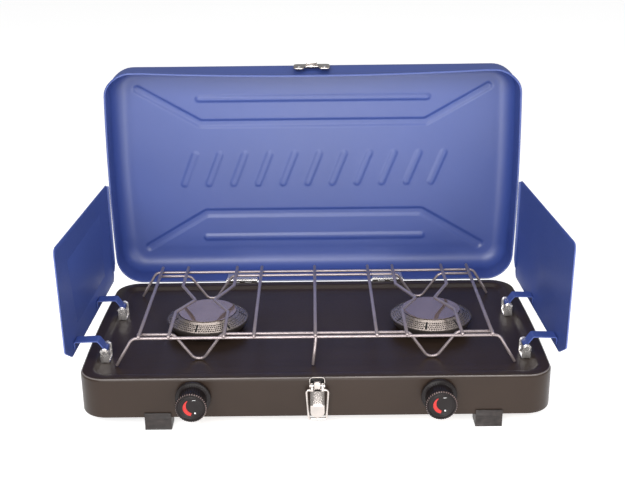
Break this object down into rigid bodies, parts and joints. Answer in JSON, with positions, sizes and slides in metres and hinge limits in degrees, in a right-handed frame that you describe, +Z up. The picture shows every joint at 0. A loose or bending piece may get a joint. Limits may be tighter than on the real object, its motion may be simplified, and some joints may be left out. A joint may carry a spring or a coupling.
{
  "type": "camp stove",
  "caption": "Folding two-burner camp stove with a hinged lid, side wind screens, a lift-out wire grate, front knobs and a draw latch.",
  "frame": {"origin": "on the ground, at the centre of the base between its front, back and side walls", "axes": "+X to the user's right, +Y to the back (the hinge side), +Z up"},
  "size_m": [0.5604, 0.3589, 0.3503],
  "materials": {
    "case_paint": "semi-gloss black enamel on pressed steel",
    "blue_paint": "gloss blue enamel on pressed steel",
    "foot_plastic": "moulded black plastic",
    "knob_plastic": "moulded black plastic",
    "red_plastic": "red printed mark",
    "zinc": "bright zinc plate",
    "nickel": "bright plated steel",
    "steel_fastener": "plated steel",
    "chrome_wire": "chrome-plated wire",
    "burner_steel": "stamped steel",
    "polished_steel": "polished stamped steel",
    "brass": "turned brass",
    "copper_tube": "drawn brass tube"
  },
  "bodies": {
    "base": {"base_tray": "case_paint", "front_left_foot": "foot_plastic", "front_right_foot": "foot_plastic", "rear_left_foot": "foot_plastic", "rear_right_foot": "foot_plastic", "left_hinge_base_leaf": "zinc", "right_hinge_base_leaf": "zinc", "base_leaf_rivets": "steel_fastener", "left_front_bracket": "zinc", "left_rear_bracket": "zinc", "right_front_bracket": "zinc", "right_rear_bracket": "zinc", "left_bracket_pins": "zinc", "right_bracket_pins": "zinc", "bracket_rivets": "steel_fastener", "left_burner_bowl": "burner_steel", "right_burner_bowl": "burner_steel", "left_burner_ring": "burner_steel", "right_burner_ring": "burner_steel", "left_burner_cap": "polished_steel", "right_burner_cap": "polished_steel", "left_mixer_tube": "burner_steel", "right_mixer_tube": "burner_steel", "left_valve_body": "brass", "right_valve_body": "brass", "left_gas_jet": "brass", "right_gas_jet": "brass", "valve_panel_nuts": "steel_fastener", "gas_rail": "copper_tube", "gas_inlet": "brass", "inlet_lock_nut": "steel_fastener", "latch_base": "nickel", "latch_pin": "steel_fastener", "latch_rivets": "steel_fastener"},
    "hinge_pins": {"left_hinge_pin": "zinc", "right_hinge_pin": "zinc"},
    "lid": {"lid_shell": "blue_paint", "lid_strike": "zinc", "strike_rivets": "steel_fastener", "left_hinge_lid_leaf": "zinc", "right_hinge_lid_leaf": "zinc", "lid_leaf_rivets": "steel_fastener"},
    "left_screen": {"left_windscreen": "blue_paint", "left_screen_straps": "blue_paint"},
    "right_screen": {"right_windscreen": "blue_paint", "right_screen_straps": "blue_paint"},
    "grate": {"grate_cross_wires": "chrome_wire", "grate_front_rail": "chrome_wire", "grate_rear_rail": "chrome_wire", "grate_front_leg_wire": "chrome_wire", "grate_rear_leg_wire": "chrome_wire"},
    "left_control": {"left_knob": "knob_plastic", "left_knob_marker": "red_plastic", "left_valve_stem": "brass"},
    "right_control": {"right_knob": "knob_plastic", "right_knob_marker": "red_plastic", "right_valve_stem": "brass"},
    "lever": {"latch_lever": "nickel"},
    "bail": {"latch_bail": "nickel"}
  },
  "joints": [
    {"name": "lid_last_fold", "type": "hinge", "parent": "base", "child": "hinge_pins", "pos_m": [0, 0.141, 0.0628], "axis": [1, 0, 0], "range_deg": [0, 16]},
    {"name": "lid_fold", "type": "hinge", "parent": "hinge_pins", "child": "lid", "pos_m": [0, 0.141, 0.0628], "axis": [1, 0, 0], "range_deg": [0, 74]},
    {"name": "left_screen_fold", "type": "hinge", "parent": "base", "child": "left_screen", "pos_m": [-0.2385, 0, 0.069], "axis": [0, 1, 0], "range_deg": [0, 92]},
    {"name": "right_screen_fold", "type": "hinge", "parent": "base", "child": "right_screen", "pos_m": [0.2385, 0, 0.069], "axis": [0, -1, 0], "range_deg": [0, 92]},
    {"name": "grate_lift", "type": "slide", "parent": "base", "child": "grate", "axis": [0, 0, -1], "range_m": [-0.12, 0]},
    {"name": "left_knob_turn", "type": "hinge", "parent": "base", "child": "left_control", "pos_m": [-0.134, -0.16, 0.04], "axis": [0, -1, 0], "range_deg": [0, 270]},
    {"name": "right_knob_turn", "type": "hinge", "parent": "base", "child": "right_control", "pos_m": [0.134, -0.16, 0.04], "axis": [0, -1, 0], "range_deg": [0, 270]},
    {"name": "latch_lever_lift", "type": "hinge", "parent": "base", "child": "lever", "pos_m": [0.0015, -0.146, 0.054], "axis": [1, 0, 0], "range_deg": [-140, 0]},
    {"name": "latch_bail_swing", "type": "hinge", "parent": "lever", "child": "bail", "pos_m": [0.0015, -0.147, 0.049], "axis": [-1, 0, 0], "range_deg": [0, 178]}
  ]
}
